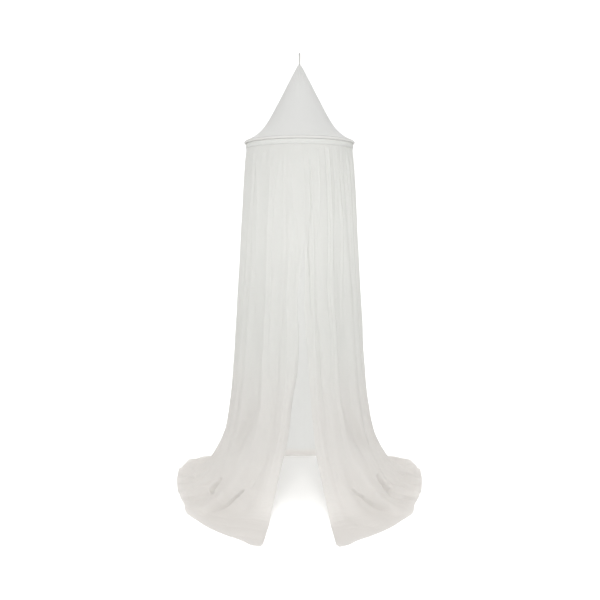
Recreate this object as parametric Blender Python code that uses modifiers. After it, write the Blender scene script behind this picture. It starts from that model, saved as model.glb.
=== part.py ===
"""Mosquito net canopy with its hoop: a cotton bed canopy that hangs from its peak.

A narrow tape loop carries a cone roof, the roof ends on a covered hoop of four rods, and a
curtain of two panels hangs from the casing under that hoop. Each panel is two gores, joined by
a seam at the canopy's side. The panels overlap at the front, part lower down and spread over
the floor; at the back their hems just stand on it.

The origin is the point where a hook bears in the loop. +Z is up, the opening faces -Y, and
+X is on the right of someone who stands in front of it.
"""
import math

import bpy
from mathutils import Vector

# ---------------------------------------------------------------- driving dimensions, metres
HANG_HEIGHT = 1.965          # from the floor up to the hook's bearing point, the origin
HOOP_HEIGHT = 1.551          # from the floor up to the hoop's centre line
HOOP_RADIUS = 0.248          # centre line of the covered hoop
HOOP_TUBE_RADIUS = 0.006
HOOP_RODS = ("hoop_front_right", "hoop_back_right", "hoop_back_left", "hoop_front_left")
ROOF_HEIGHT = 0.352          # from the roof's lower edge up to its open tip
ROOF_TIP_RADIUS = 0.0065
ROOF_STRAIGHT_SHARE = 0.76   # share of the roof's radius that grows evenly from the tip
ROOF_FLARE_POWER = 11        # the rest is gained in the last stretch above the hoop
ROOF_EDGE_LEAN = 26.0        # degrees out from the hoop's top to where the roof's edge lies
ROOF_ROWS = (0.0, 0.22, 0.45, 0.63, 0.76, 0.86, 0.93, 0.97, 1.0)  # shares of its height, tip first
CASING_RADIUS = 0.2455       # outer face of the casing that hangs from the hoop
CASING_HEIGHT = 0.029        # from the hoop's centre line down to the line of stitches
CLOTH_THICKNESS = 0.002
PART_GAP = 0.0005            # between pieces that touch on the real object
SEAM_GAP = 0.0008            # between gores, whose edges aren't quite parallel

TAPE_WIDTH = 0.008
TAPE_THICKNESS = 0.0015
EYE_RADIUS = 0.003           # half the loop's inner width
EYE_LENGTH = 0.040           # from the bearing point down to the foot of the eye
EYE_STRAIGHT = 0.024         # from there down to where the two layers start to close up
TAPE_TAIL = 0.018            # both layers, sewn together below the eye

# Between the hoop and the floor a panel swings out like a bell: a small even lean, and a
# flare that grows with a high power of the drop.
BELL_LEAN = 0.43
BELL_FLARE_POWER = 7
FOOT_BEND = 0.10             # length of cloth that bends from hanging to lying
OVERLAP_ANGLE = 3.0          # degrees that each panel runs past the centre of the front
LAYER_OFFSET = 0.0026        # of each panel's face, out or in, where the two overlap
PARTING_REACH = 15.0         # degrees over which the pull on a front edge dies away

ROUND_STEPS = 48             # faces round the roof and the casing
QUARTER_STEPS = 12           # faces along one rod of the hoop
HOOP_SIDES = 10              # faces round a rod
HANG_STEPS = 128             # fine steps down one column before it is divided into rows
LYING_STEPS = 32             # the same along the floor
STEP_CROWDING = 1.6          # above 1, the steps down a column crowd towards the floor

# How the faces of a panel are shared out: columns by their place on the hoop in degrees,
# rows by the share of the cloth's length above them. Both are finer where the cloth bends.
COLUMN_PLACES = ((0, -3.0), (24, 62.0), (34, 95.0), (56, 180.0))
LEFT_SEAM = 30               # the column where the front gore ends and the back gore starts,
RIGHT_SEAM = 29              # in the valley before the fold at each side of the canopy
ROW_PLACES = ((0, 0.0), (7, 0.58), (15, 0.83), (29, 1.0))

# Where a column of cloth meets the floor and where its hem lies, by its place on the hoop.
# Angles in degrees from the middle of the front, reaches in metres from the hoop's axis.
PLAN_COLUMNS = ("hoop_angle", "foot_bearing", "foot_reach", "hem_bearing", "hem_reach")
PLAN = (
    (-3.0, 13.2, 0.490, 10.5, 0.735),
    (-1.5, 14.0, 0.488, 11.2, 0.755),
    (1.0, 15.6, 0.485, 13.2, 0.750),
    (5.0, 18.2, 0.479, 17.5, 0.718),
    (10.0, 21.5, 0.470, 22.5, 0.698),
    (20.0, 30.0, 0.445, 33.0, 0.653),
    (27.0, 37.0, 0.425, 40.5, 0.625),
    (34.0, 44.0, 0.420, 47.0, 0.608),
    (40.0, 54.0, 0.425, 58.0, 0.574),
    (48.0, 63.0, 0.435, 69.0, 0.560),
    (60.0, 74.0, 0.448, 80.0, 0.556),
    (75.0, 86.0, 0.458, 92.0, 0.568),
    (90.0, 98.0, 0.463, 104.0, 0.592),
    (105.0, 110.0, 0.465, 115.0, 0.612),
    (120.0, 122.0, 0.460, 126.0, 0.600),
    (135.0, 136.0, 0.438, 139.0, 0.515),
    (150.0, 151.0, 0.406, 153.0, 0.430),
    (165.0, 165.5, 0.376, 166.0, 0.380),
    (180.0, 180.0, 0.364, 180.0, 0.366),
)

# Where the two front edges hang, by their height above the floor.
PARTING_COLUMNS = ("height", "left_edge", "right_edge")
PARTING = (
    (0.000, -0.113, 0.117),
    (0.067, -0.099, 0.103),
    (0.130, -0.088, 0.092),
    (0.220, -0.072, 0.077),
    (0.300, -0.056, 0.067),
    (0.440, -0.040, 0.053),
    (0.580, -0.016, 0.043),
    (0.690, -0.010, 0.033),
    (0.850, -0.009, 0.030),
    (1.000, 0.008, 0.036),
    (1.130, 0.026, 0.024),
    (1.300, 0.024, 0.000),
    (1.530, 0.012, -0.012),
)

# One row for each hanging fold, from the front edge round to the centre of the back: its
# place on the hoop and its half width in degrees, and how far it stands out in millimetres.
# A level is 0 at the hoop, 1 at the foot and 2 at the hem.
FOLD_LEVELS = (0.0, 0.12, 0.5, 1.0, 2.0)
FOLD_SHOULDER = 0.35         # share of the depth at the waist that a fold has at the second level
FOLD_SPREAD = 1.35           # how far a fold's slopes run on, times its half width
LEFT_FOLDS = (
    # angle, half_width, at_hoop, at_waist, at_foot, at_hem
    (-2.0, 5.0, 0.0, 3.0, 4.0, 2.0),
    (10.5, 8.0, 0.5, 8.0, 16.0, 2.0),
    (22.0, 5.0, 0.5, 3.0, 5.0, 2.0),
    (33.5, 6.5, 0.5, 10.0, 32.0, 5.0),
    (47.5, 6.0, 1.0, 7.0, 16.0, 3.0),
    (60.0, 7.0, 1.0, 6.0, 19.0, 5.0),
    (74.0, 7.0, 1.5, 7.0, 12.0, 3.0),
    (88.0, 7.0, 1.0, 8.0, 19.0, 5.0),
    (103.0, 7.5, 1.5, 7.0, 13.0, 4.0),
    (119.0, 8.0, 1.0, 9.0, 18.0, 6.0),
    (135.0, 8.5, 1.5, 8.0, 14.0, 6.0),
    (152.0, 9.0, 1.0, 7.0, 12.0, 5.0),
    (169.0, 8.0, 1.5, 6.0, 9.0, 5.0),
)
RIGHT_FOLDS = (
    # angle, half_width, at_hoop, at_waist, at_foot, at_hem
    (-2.0, 5.0, 0.0, 2.0, 4.0, 2.0),
    (7.0, 5.0, 0.5, 3.0, 5.0, 2.0),
    (18.5, 6.5, 1.0, 7.0, 14.0, 2.0),
    (34.5, 6.5, 3.0, 10.0, 32.0, 5.0),
    (47.5, 5.5, 5.0, 8.0, 16.0, 3.0),
    (59.0, 5.5, 5.5, 7.0, 19.0, 5.0),
    (70.5, 5.5, 5.0, 7.0, 11.0, 3.0),
    (85.0, 7.5, 2.5, 7.0, 18.0, 5.0),
    (101.0, 7.0, 1.5, 8.0, 13.0, 4.0),
    (116.0, 8.0, 1.5, 7.0, 17.0, 6.0),
    (133.0, 9.0, 1.0, 9.0, 14.0, 6.0),
    (149.0, 8.0, 1.5, 6.0, 11.0, 5.0),
    (166.0, 9.0, 1.0, 7.0, 10.0, 5.0),
)

# The bell is drawn in under its folds, so that their crests make its outline: by how many
# millimetres at each level, and the share of them at each place on the hoop.
DRAWN_IN_LEVELS = (0.0, 0.15, 0.34, 0.46, 0.54, 0.61, 0.69, 0.76, 0.82, 0.87, 0.91, 0.95, 0.98)
DRAWN_IN_DEPTHS = (0.0, 3.5, 8.0, 11.0, 13.0, 18.0, 26.0, 33.0, 38.0, 33.0, 23.0, 10.0, 0.0)
DRAWN_IN_ANGLES = (-3.0, 30.0, 69.0, 85.0, 94.0, 112.0, 180.0)
DRAWN_IN_SHARES = (0.35, 0.4, 0.5, 0.92, 0.9, 0.6, 0.35)

# Ridges of the cloth that lies on the floor, the same on both sides: metres out from the
# middle and ahead of the hoop's axis, then millimetres of height and of each slope's width.
LYING_FOLDS = (
    # start_out, start_ahead, end_out, end_ahead, height, ahead_width, behind_width
    (0.235, 0.250, 0.430, 0.455, 22.0, 34.0, 62.0),
    (0.380, 0.205, 0.560, 0.205, 20.0, 36.0, 60.0),
    (0.430, 0.045, 0.580, 0.015, 12.0, 40.0, 48.0),
    (0.450, -0.100, 0.590, -0.130, 15.0, 42.0, 48.0),
    (0.420, -0.245, 0.560, -0.275, 17.0, 40.0, 45.0),
)
LYING_FADE = 0.05            # length over which such a ridge rises at each end
LYING_LEVELS = (0.86, 1.05)  # between these levels the ridges come in
LAYER_SPREAD = 9.0           # degrees from the front over which the panels keep apart
LAYER_LEVELS = (0.30, 0.55)  # between these levels that distance dies away

MILLIMETRE = 0.001


# --------------------------------------------------------------------------- shared helpers
def column_of(table, names, wanted):
    """Read one named column of a table."""
    place = names.index(wanted)
    return [row[place] for row in table]


def smooth_read(keys, values, key):
    """Read a rising table between its rows, without swinging past them."""
    if key <= keys[0]:
        return values[0]
    if key >= keys[-1]:
        return values[-1]
    last = len(keys) - 1
    slopes = [(values[i + 1] - values[i]) / (keys[i + 1] - keys[i]) for i in range(last)]
    tangents = [slopes[0]]
    for before, after in zip(slopes, slopes[1:]):
        level = before * after <= 0.0
        tangents.append(0.0 if level else 2.0 * before * after / (before + after))
    tangents.append(slopes[-1])
    row = max(i for i in range(last) if keys[i] <= key)
    span = keys[row + 1] - keys[row]
    share = (key - keys[row]) / span
    rise = share * share * (3.0 - 2.0 * share)
    start = values[row] * (1.0 - rise) + values[row + 1] * rise
    lead = share * (1.0 - share) ** 2 * tangents[row]
    trail = share * share * (1.0 - share) * tangents[row + 1]
    return start + span * (lead - trail)


def cloth_material(name, colour, roughness):
    material = bpy.data.materials.new(name)
    material.use_nodes = True
    shader = material.node_tree.nodes["Principled BSDF"]
    shader.inputs["Base Color"].default_value = (*colour, 1.0)
    shader.inputs["Roughness"].default_value = roughness
    shader.inputs["Metallic"].default_value = 0.0
    return material


def add_object(name, data, material, collection):
    data.materials.append(material)
    part = bpy.data.objects.new(name, data)
    collection.objects.link(part)
    return part


def turned_sheet(name, profile, material, collection):
    """A round sheet: an open profile in (radius, height), turned and given its thickness."""
    mesh = bpy.data.meshes.new(name)
    points = [(radius, 0.0, height - HANG_HEIGHT) for radius, height in profile]
    edges = [(i, i + 1) for i in range(len(points) - 1)]
    mesh.from_pydata(points, edges, [])
    part = add_object(name, mesh, material, collection)
    turn = part.modifiers.new("turn", "SCREW")
    turn.steps = ROUND_STEPS
    turn.render_steps = ROUND_STEPS
    turn.use_merge_vertices = True
    turn.merge_threshold = 0.0001
    wall = part.modifiers.new("thickness", "SOLIDIFY")
    wall.thickness = CLOTH_THICKNESS
    wall.offset = -1.0
    return part


# ------------------------------------------------------------------------------ hanging loop
def hanging_loop(material, collection):
    """A tape folded into an eye: its outline seen from the side, as wide as the tape."""
    outline = bpy.data.curves.new("hanging_loop", "CURVE")
    outline.dimensions = "2D"
    outline.fill_mode = "BOTH"
    outline.extrude = TAPE_WIDTH / 2
    outer = EYE_RADIUS + TAPE_THICKNESS
    shoulder = -EYE_LENGTH - TAPE_THICKNESS
    bend = [math.radians(angle) for angle in range(0, 181, 20)]
    centre = -EYE_RADIUS
    outside = [(outer * math.cos(a), centre + outer * math.sin(a)) for a in bend]
    outside += [(-outer, -EYE_STRAIGHT), (-TAPE_THICKNESS, shoulder)]
    outside += [(-TAPE_THICKNESS, shoulder - TAPE_TAIL), (TAPE_THICKNESS, shoulder - TAPE_TAIL)]
    outside += [(TAPE_THICKNESS, shoulder), (outer, -EYE_STRAIGHT)]
    inside = [(EYE_RADIUS * math.cos(a), centre + EYE_RADIUS * math.sin(a)) for a in bend]
    inside += [(-EYE_RADIUS, -EYE_STRAIGHT), (0.0, -EYE_LENGTH), (EYE_RADIUS, -EYE_STRAIGHT)]
    for ring in (outside, inside):
        spline = outline.splines.new("POLY")
        spline.points.add(len(ring) - 1)
        for point, (across, up) in zip(spline.points, ring):
            point.co = (across, up, 0.0, 1.0)
        spline.use_cyclic_u = True
    part = add_object("hanging_loop", outline, material, collection)
    part.rotation_euler = (math.pi / 2, 0.0, math.pi / 2)
    return part


# ---------------------------------------------------------------------- roof, hoop and casing
def roof_profile():
    """The roof's outer line, from its tip down: nearly straight, then flaring to the hoop."""
    lean = math.radians(ROOF_EDGE_LEAN)
    clear = HOOP_TUBE_RADIUS + PART_GAP + CLOTH_THICKNESS
    foot_height = HOOP_HEIGHT + clear * math.cos(lean)
    foot_radius = HOOP_RADIUS + clear * math.sin(lean)
    profile = []
    for share in ROOF_ROWS:
        even = ROOF_STRAIGHT_SHARE * share
        flare = (1.0 - ROOF_STRAIGHT_SHARE) * share ** ROOF_FLARE_POWER
        radius = ROOF_TIP_RADIUS + (foot_radius - ROOF_TIP_RADIUS) * (even + flare)
        profile.append((radius, foot_height + ROOF_HEIGHT * (1.0 - share)))
    return profile


def hoop_rod(name, start, material, collection):
    """A quarter of the hoop, in its cover. Four rods plug together end to end."""
    end_gap = math.degrees(PART_GAP / 2.0 / HOOP_RADIUS)
    points = []
    for step in range(QUARTER_STEPS + 1):
        turn = start + end_gap + (90.0 - 2.0 * end_gap) * step / QUARTER_STEPS
        for corner in range(HOOP_SIDES):
            angle = 2.0 * math.pi * corner / HOOP_SIDES
            point = on_plan(turn, HOOP_RADIUS + HOOP_TUBE_RADIUS * math.cos(angle), 1)
            point.z = HOOP_HEIGHT - HANG_HEIGHT + HOOP_TUBE_RADIUS * math.sin(angle)
            points.append(point)
    faces = []
    for step in range(QUARTER_STEPS):
        for corner in range(HOOP_SIDES):
            here = step * HOOP_SIDES + corner
            beside = step * HOOP_SIDES + (corner + 1) % HOOP_SIDES
            faces.append((here, here + HOOP_SIDES, beside + HOOP_SIDES, beside))
    first_cap = tuple(range(HOOP_SIDES))
    last_cap = tuple(QUARTER_STEPS * HOOP_SIDES + corner for corner in reversed(range(HOOP_SIDES)))
    mesh = bpy.data.meshes.new(name)
    mesh.from_pydata(points, [], faces + [first_cap, last_cap])
    mesh.shade_smooth()
    return add_object(name, mesh, material, collection)


def casing_profile():
    top = HOOP_HEIGHT - HOOP_TUBE_RADIUS - PART_GAP
    return [(CASING_RADIUS, top), (CASING_RADIUS, HOOP_HEIGHT - CASING_HEIGHT)]


# ------------------------------------------------------------------------------ the curtain
def bell_share(drop):
    """How much of the way from the hoop to its foot a column has swung out, by its drop."""
    return BELL_LEAN * drop + (1.0 - BELL_LEAN) * drop ** BELL_FLARE_POWER


def on_plan(bearing, reach, side):
    """A place on the floor, from its bearing off the front and its reach from the axis."""
    turn = math.radians(bearing)
    return Vector((side * reach * math.sin(turn), -reach * math.cos(turn), 0.0))


def column_path(angle, side, top_height, edge_name):
    """One column of cloth as fine steps: places, and a reading of 0 hoop, 1 foot, 2 hem."""
    angles = column_of(PLAN, PLAN_COLUMNS, "hoop_angle")

    def plan(name):
        return smooth_read(angles, column_of(PLAN, PLAN_COLUMNS, name), angle)

    top = on_plan(angle, CASING_RADIUS - CLOTH_THICKNESS, side)
    foot = on_plan(plan("foot_bearing"), plan("foot_reach"), side)
    hem = on_plan(plan("hem_bearing"), plan("hem_reach"), side)
    edge_top = on_plan(-OVERLAP_ANGLE, CASING_RADIUS - CLOTH_THICKNESS, side)
    edge_foot = on_plan(PLAN[0][1], PLAN[0][2], side)
    pull = math.exp(-((angle + OVERLAP_ANGLE) / PARTING_REACH) ** 2)
    heights = column_of(PARTING, PARTING_COLUMNS, "height")
    edges = column_of(PARTING, PARTING_COLUMNS, edge_name)

    places = []
    readings = []
    for step in range(HANG_STEPS + 1):
        drop = 1.0 - (1.0 - step / HANG_STEPS) ** STEP_CROWDING
        share = bell_share(drop)
        place = top.lerp(foot, share)
        place.z = top_height * (1.0 - drop)
        edge = edge_top.lerp(edge_foot, share).x
        place.x += pull * (smooth_read(heights, edges, place.z) - edge)
        places.append(place)
        readings.append(drop)
    foot = places[-1].copy()
    for step in range(1, LYING_STEPS + 1):
        share = step / LYING_STEPS
        places.append(foot.lerp(hem, share))
        readings.append(1.0 + share)
    return places, readings


def lengths_along(places):
    lengths = [0.0]
    for before, after in zip(places, places[1:]):
        lengths.append(lengths[-1] + (after - before).length)
    return lengths


def read_path(places, lengths, wanted):
    """The place at a given length along a path, and the step it falls in."""
    step = 0
    while step < len(lengths) - 2 and lengths[step + 1] < wanted:
        step += 1
    span = max(lengths[step + 1] - lengths[step], 1e-9)
    share = min(max((wanted - lengths[step]) / span, 0.0), 1.0)
    return places[step].lerp(places[step + 1], share), step, share


def bend_at_foot(places, readings):
    """Round the corner between hanging and lying cloth with one even curve."""
    lengths = lengths_along(places)
    foot_step = readings.index(1.0)
    foot_length = lengths[foot_step]
    reach = min(FOOT_BEND, 0.95 * (lengths[-1] - foot_length))
    start = read_path(places, lengths, foot_length - reach)[0]
    end = read_path(places, lengths, foot_length + reach)[0]
    corner = places[foot_step].copy()
    rounded = []
    for place, length in zip(places, lengths):
        if abs(length - foot_length) < reach:
            share = (length - foot_length + reach) / (2.0 * reach)
            place = start.lerp(corner, share).lerp(corner.lerp(end, share), share)
        rounded.append(place)
    return rounded


def shared_out(places):
    """Every step of a table of places, read smoothly."""
    steps = [row[0] for row in places]
    values = [row[1] for row in places]
    return [smooth_read(steps, values, step) for step in range(steps[-1] + 1)]


def curtain_grid(side, edge_name):
    """The unfolded bell of one panel: places, readings and hoop angles, column by column."""
    top_height = HOOP_HEIGHT - CASING_HEIGHT - PART_GAP
    grid = []
    for angle in shared_out(COLUMN_PLACES):
        places, readings = column_path(angle, side, top_height, edge_name)
        places = bend_at_foot(places, readings)
        lengths = lengths_along(places)
        line = []
        for share in shared_out(ROW_PLACES):
            wanted = lengths[-1] * share
            place, step, part_way = read_path(places, lengths, wanted)
            reading = readings[step] * (1.0 - part_way) + readings[step + 1] * part_way
            line.append((place, reading, angle))
        grid.append(line)
    return grid


def fold_height(folds, angle, reading):
    """How far the cloth stands out of its bell at one place, all folds together."""
    height = 0.0
    for place, half_width, at_hoop, at_waist, at_foot, at_hem in folds:
        off = abs(angle - place) / (FOLD_SPREAD * half_width)
        if off < 1.0:
            shoulder = at_hoop + FOLD_SHOULDER * at_waist
            depths = (0.0, shoulder, at_waist, at_foot, at_hem)
            depth = smooth_read(FOLD_LEVELS, depths, reading)
            height += depth * MILLIMETRE * math.cos(off * math.pi / 2) ** 2
    return height


def drawn_in(angle, reading):
    """How far inside its plan the bell lies at one place."""
    depth = smooth_read(DRAWN_IN_LEVELS, DRAWN_IN_DEPTHS, reading)
    return depth * MILLIMETRE * smooth_read(DRAWN_IN_ANGLES, DRAWN_IN_SHARES, angle)


def ease(low, high, value):
    """0 below low, 1 above high, and a smooth rise between."""
    share = min(max((value - low) / (high - low), 0.0), 1.0)
    return share * share * (3.0 - 2.0 * share)


def lying_height(out, ahead, reading):
    """How far the cloth on the floor is pushed up into ridges at one place."""
    height = 0.0
    for start_out, start_ahead, end_out, end_ahead, crest, ahead_width, behind_width in LYING_FOLDS:
        length = math.hypot(end_out - start_out, end_ahead - start_ahead)
        along_out = (end_out - start_out) / length
        along_ahead = (end_ahead - start_ahead) / length
        run = (out - start_out) * along_out + (ahead - start_ahead) * along_ahead
        across = (ahead - start_ahead) * along_out - (out - start_out) * along_ahead
        width = MILLIMETRE * (ahead_width if across > 0.0 else behind_width)
        if abs(across) < width:
            ends = ease(-LYING_FADE, LYING_FADE, run) * ease(-LYING_FADE, LYING_FADE, length - run)
            height += crest * MILLIMETRE * ends * math.cos(across / width * math.pi / 2) ** 2
    return height * ease(*LYING_LEVELS, reading)


def layer_shift(angle, reading, side):
    """Keep the left panel outside the right one where the two overlap."""
    near = math.exp(-((angle + OVERLAP_ANGLE) / LAYER_SPREAD) ** 2)
    return -side * LAYER_OFFSET * near * (1.0 - ease(*LAYER_LEVELS, reading))


def panel_places(side, edge_name, folds):
    """Every point of one panel with its folds, and at each the direction round the canopy."""
    grid = curtain_grid(side, edge_name)
    last_column = len(grid) - 1
    last_row = len(grid[0]) - 1
    points = []
    rounds = []
    for column in range(last_column + 1):
        line = []
        for row in range(last_row + 1):
            before = grid[max(column - 1, 0)][row][0]
            after = grid[min(column + 1, last_column)][row][0]
            above = grid[column][max(row - 1, 0)][0]
            below = grid[column][min(row + 1, last_row)][0]
            outward = side * (below - above).cross(after - before).normalized()
            place, reading, angle = grid[column][row]
            stand = fold_height(folds, angle, reading) - drawn_in(angle, reading)
            stand += layer_shift(angle, reading, side)
            point = place + outward * (stand + lying_height(side * place.x, -place.y, reading))
            point.z = max(point.z, CLOTH_THICKNESS) - HANG_HEIGHT
            if column == last_column:
                point.x = 0.0
            line.append(point)
        points.append(line)
        rounds.append([(grid[min(column + 1, last_column)][row][0]
                        - grid[max(column - 1, 0)][row][0]).normalized()
                       for row in range(last_row + 1)])
    return points, rounds


def gore(name, side, columns, draw_in, material, collection):
    """One gore from its columns of points, each end column drawn in to leave the seams open."""
    rows = len(columns[0][0])
    points = []
    for column, (places, directions) in enumerate(columns):
        shift = draw_in[0] if column == 0 else 0.0
        shift -= draw_in[1] if column == len(columns) - 1 else 0.0
        points += [place + shift * way for place, way in zip(places, directions)]
    faces = []
    for column in range(len(columns) - 1):
        for row in range(rows - 1):
            corner = column * rows + row
            across = corner + rows
            ring = (corner, corner + 1, across + 1, across)
            faces.append(ring if side < 0 else ring[::-1])
    mesh = bpy.data.meshes.new(name)
    mesh.from_pydata(points, [], faces)
    mesh.shade_smooth()
    part = add_object(name, mesh, material, collection)
    wall = part.modifiers.new("thickness", "SOLIDIFY")
    wall.thickness = CLOTH_THICKNESS
    wall.offset = 1.0
    return part


def curtain_panel(name, side, edge_name, folds, seam, collection):
    """One side of the curtain: a gore from the front edge to the side seam, and one behind it."""
    points, rounds = panel_places(side, edge_name, folds)
    columns = list(zip(points, rounds))
    cotton = (0.76, 0.75, 0.72)
    front = cloth_material(name + "_front_cotton", cotton, 0.95)
    back = cloth_material(name + "_back_cotton", cotton, 0.95)
    half = SEAM_GAP / 2
    gore(name + "_front", side, columns[:seam + 1], (0.0, half), front, collection)
    gore(name + "_back", side, columns[seam:], (half, half), back, collection)


# ------------------------------------------------------------------------------------ build
def clear_scene():
    for old in list(bpy.data.objects):
        bpy.data.objects.remove(old, do_unlink=True)


def build():
    clear_scene()
    canopy = bpy.data.collections.new("mosquito_net_canopy")
    bpy.context.scene.collection.children.link(canopy)
    roof_cotton = cloth_material("roof_cotton", (0.76, 0.755, 0.73), 0.95)
    hanging_loop(cloth_material("tape", (0.70, 0.69, 0.66), 0.9), canopy)
    turned_sheet("roof", roof_profile(), roof_cotton, canopy)
    cover = cloth_material("covered_hoop", (0.60, 0.60, 0.57), 0.85)
    for number, name in enumerate(HOOP_RODS):
        hoop_rod(name, 90.0 * number, cover, canopy)
    casing = cloth_material("casing_cotton", (0.78, 0.775, 0.75), 0.95)
    turned_sheet("casing", casing_profile(), casing, canopy)
    curtain_panel("curtain_left", -1, "left_edge", LEFT_FOLDS, LEFT_SEAM, canopy)
    curtain_panel("curtain_right", 1, "right_edge", RIGHT_FOLDS, RIGHT_SEAM, canopy)


build()
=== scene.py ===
# %% [markdown]
# # A mosquito net canopy in thin cotton
# A child's bed canopy hangs from one hook: a tape loop, a cone roof, a covered hoop, and a long
# curtain that parts at the front and spreads over the floor. The plain solids of these pieces
# come in as a fixed frame. This lesson makes the cloth itself around them: real folds, hems,
# seams and stitches, and a cotton that lets light through.

import math

import bmesh
import bpy
import numpy as np
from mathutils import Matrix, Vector


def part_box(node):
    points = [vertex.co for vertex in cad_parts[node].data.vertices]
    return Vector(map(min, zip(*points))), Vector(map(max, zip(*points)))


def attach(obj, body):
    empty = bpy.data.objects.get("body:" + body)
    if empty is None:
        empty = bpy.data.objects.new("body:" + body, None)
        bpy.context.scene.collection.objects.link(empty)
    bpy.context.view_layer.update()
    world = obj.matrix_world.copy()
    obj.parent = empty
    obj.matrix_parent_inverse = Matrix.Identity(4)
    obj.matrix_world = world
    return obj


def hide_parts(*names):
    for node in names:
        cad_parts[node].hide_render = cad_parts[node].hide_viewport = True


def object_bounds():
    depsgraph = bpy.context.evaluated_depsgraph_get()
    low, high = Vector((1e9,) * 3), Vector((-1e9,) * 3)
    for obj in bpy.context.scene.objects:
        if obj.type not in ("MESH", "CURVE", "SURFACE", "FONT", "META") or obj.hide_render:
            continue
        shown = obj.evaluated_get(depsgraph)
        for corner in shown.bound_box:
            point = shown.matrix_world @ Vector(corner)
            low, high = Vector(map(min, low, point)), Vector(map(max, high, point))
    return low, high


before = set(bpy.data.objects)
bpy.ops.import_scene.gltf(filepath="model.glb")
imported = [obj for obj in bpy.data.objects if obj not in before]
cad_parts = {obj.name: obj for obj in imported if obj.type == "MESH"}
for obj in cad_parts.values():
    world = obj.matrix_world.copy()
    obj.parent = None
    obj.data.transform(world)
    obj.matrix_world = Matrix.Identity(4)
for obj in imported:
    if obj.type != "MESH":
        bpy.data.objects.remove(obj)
cad_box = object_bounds()
print("the frame holds", sorted(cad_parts))

# %% [markdown]
# ## Sizes that come from the frame
# The origin is where the hook bears, so heights are easier to read from the floor up. The hoop,
# its casing and the roof are turned round the upright axis, so a box around each gives its radius.

# %% Read the driving sizes
HOOP_RODS = ("hoop_front_right", "hoop_back_right", "hoop_back_left", "hoop_front_left")
FLOOR = cad_box[0].z
rod_boxes = np.array([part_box(rod) for rod in HOOP_RODS])
hoop_low, hoop_high = rod_boxes[:, 0].min(axis=0), rod_boxes[:, 1].max(axis=0)
HOOP_TUBE = (hoop_high[2] - hoop_low[2]) / 2
HOOP_RADIUS = hoop_high[0] - HOOP_TUBE
HOOP_Z = (hoop_high[2] + hoop_low[2]) / 2
casing_low, casing_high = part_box("casing")
roof_low, roof_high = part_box("roof")
CASING_RADIUS, CASING_FOOT = casing_high.x, casing_low.z
print(f"floor {FLOOR:.3f}, hoop {HOOP_RADIUS:.3f} at {HOOP_Z:.3f}, casing down to {CASING_FOOT:.4f}")

# %% [markdown]
# ## The camera
# The photograph is a level view, cropped off-centre: its horizon lies above the middle of the
# picture. A level camera with a small shift gives that view and keeps upright lines upright.

# %% Set the camera up
PICTURE_SIDE = 600            # pixels
FOCAL_PIXELS = 760            # focal length, in pixels of the picture
AXIS_COLUMN = 299.5           # the pixel column where the canopy's axis shows
HORIZON_ROW = 230             # the pixel row at the camera's own height
CAMERA_DISTANCE = 3.5         # from the canopy's axis
CAMERA_HEIGHT = 1.151         # above the floor
SENSOR_WIDTH = 36             # millimetres

camera_data = bpy.data.cameras.new("camera")
camera_data.sensor_width = SENSOR_WIDTH
camera_data.lens = FOCAL_PIXELS * SENSOR_WIDTH / PICTURE_SIDE
camera_data.shift_x = (PICTURE_SIDE / 2 - AXIS_COLUMN) / PICTURE_SIDE
camera_data.shift_y = -(PICTURE_SIDE / 2 - HORIZON_ROW) / PICTURE_SIDE
camera = bpy.data.objects.new("camera", camera_data)
camera.location = (0, -CAMERA_DISTANCE, FLOOR + CAMERA_HEIGHT)
camera.rotation_euler = (math.radians(90), 0, 0)
bpy.context.scene.collection.objects.link(camera)
bpy.context.scene.camera = camera
print(f"camera at {CAMERA_DISTANCE} m with a {camera_data.lens:.1f} mm lens")

# %% [markdown]
# ## Floor and light
# The photograph is a cut-out on white. A pale floor that sweeps up into a backdrop gives the same
# clean ground, and it throws light back on the cloth from below. Thin white cotton shows its
# folds only where light from one side is a little stronger, so a soft lamp stands high in front
# and a weak one behind. Light from straight above and an even pale sky fill the rest.

# %% Make the floor and the backdrop
FLOOR_HALF_WIDTH = 9.0
FLOOR_FRONT = -8.0
BACKDROP_START = 4.0          # where the floor starts to curve up
BACKDROP_RADIUS = 3.0
BACKDROP_TOP = 5.0            # height of the straight part above the curve
CURVE_STEPS = 16
FLOOR_GLOW = 0.10             # keeps it white in the canopy's shade, as in the cut-out photograph


def fill(tree, node, values):
    """Set a node's inputs, or link them where the value is a socket or a node's first output."""
    for socket, value in dict(values).items():
        if isinstance(value, bpy.types.Node):
            value = value.outputs[0]
        if isinstance(value, bpy.types.NodeSocket):
            tree.links.new(value, node.inputs[socket])
        else:
            node.inputs[socket].default_value = value


def plain_material(name, colour, roughness, glow=0.0):
    """A Principled material with one colour, for thread and for the floor."""
    material = bpy.data.materials.new(name)
    material.use_nodes = True
    fill(material.node_tree, material.node_tree.nodes["Principled BSDF"],
         {"Base Color": (*colour, 1), "Roughness": roughness, "Specular IOR Level": 0.1,
          "Emission Color": (1, 1, 1, 1), "Emission Strength": glow})
    return material


def mesh_piece(name, points, faces, material):
    """A new mesh object at the origin, with its place in its mesh."""
    mesh = bpy.data.meshes.new(name)
    mesh.from_pydata([tuple(point) for point in points], [], faces)
    mesh.shade_smooth()
    mesh.materials.append(material)
    piece = bpy.data.objects.new(name, mesh)
    bpy.context.scene.collection.objects.link(piece)
    return piece


def grid_faces(columns, rows, flip=False):
    """Quads over a grid of points that is stored column by column."""
    faces = []
    for column in range(columns - 1):
        for row in range(rows - 1):
            corner = column * rows + row
            ring = (corner, corner + 1, corner + rows + 1, corner + rows)
            faces.append(ring[::-1] if flip else ring)
    return faces


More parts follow.
